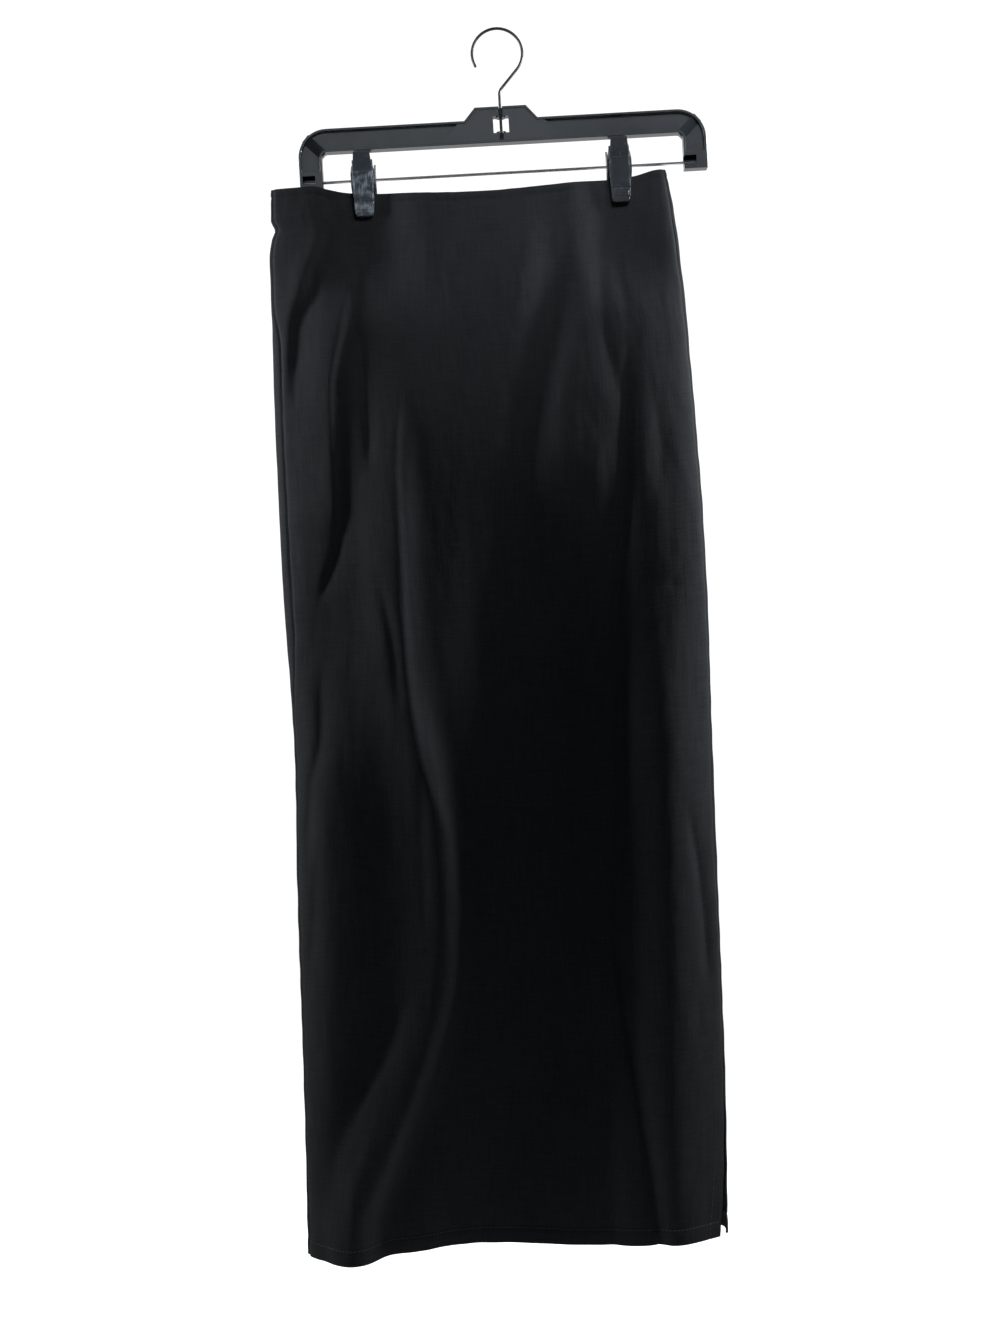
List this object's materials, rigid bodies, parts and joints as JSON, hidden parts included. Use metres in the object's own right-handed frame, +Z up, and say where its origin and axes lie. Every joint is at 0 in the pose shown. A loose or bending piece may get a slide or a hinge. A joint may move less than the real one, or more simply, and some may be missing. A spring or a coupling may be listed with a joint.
{
  "type": "maxi skirt on a skirt hanger",
  "caption": "Long straight pull-on skirt with a side slit, held at the waist by the clips of a moulded skirt hanger with a wire hook.",
  "frame": {"origin": "inside of the hook at its top, where a rail carries the hanger", "axes": "+Z up, +X to the right seen from the front, front of the skirt faces -Y"},
  "size_m": [0.3996, 0.076, 1.0554],
  "materials": {
    "skirt_cloth": "matte black crepe weave with a faint sheen",
    "hanger_plastic": "moulded, glossy, smoky black",
    "clip_plastic": "moulded, semi-gloss, scuffed",
    "hook_metal": "black coated wire",
    "zinc_steel": "bright zinc-plated wire"
  },
  "bodies": {
    "root": {"skirt_front": "skirt_cloth", "skirt_back": "skirt_cloth", "hanger_frame": "hanger_plastic", "hook_wire": "hook_metal", "clip_bar": "zinc_steel", "clip_left_front": "clip_plastic", "clip_left_back": "clip_plastic", "clip_left_spring": "zinc_steel", "clip_right_front": "clip_plastic", "clip_right_back": "clip_plastic", "clip_right_spring": "zinc_steel"}
  },
  "joints": []
}
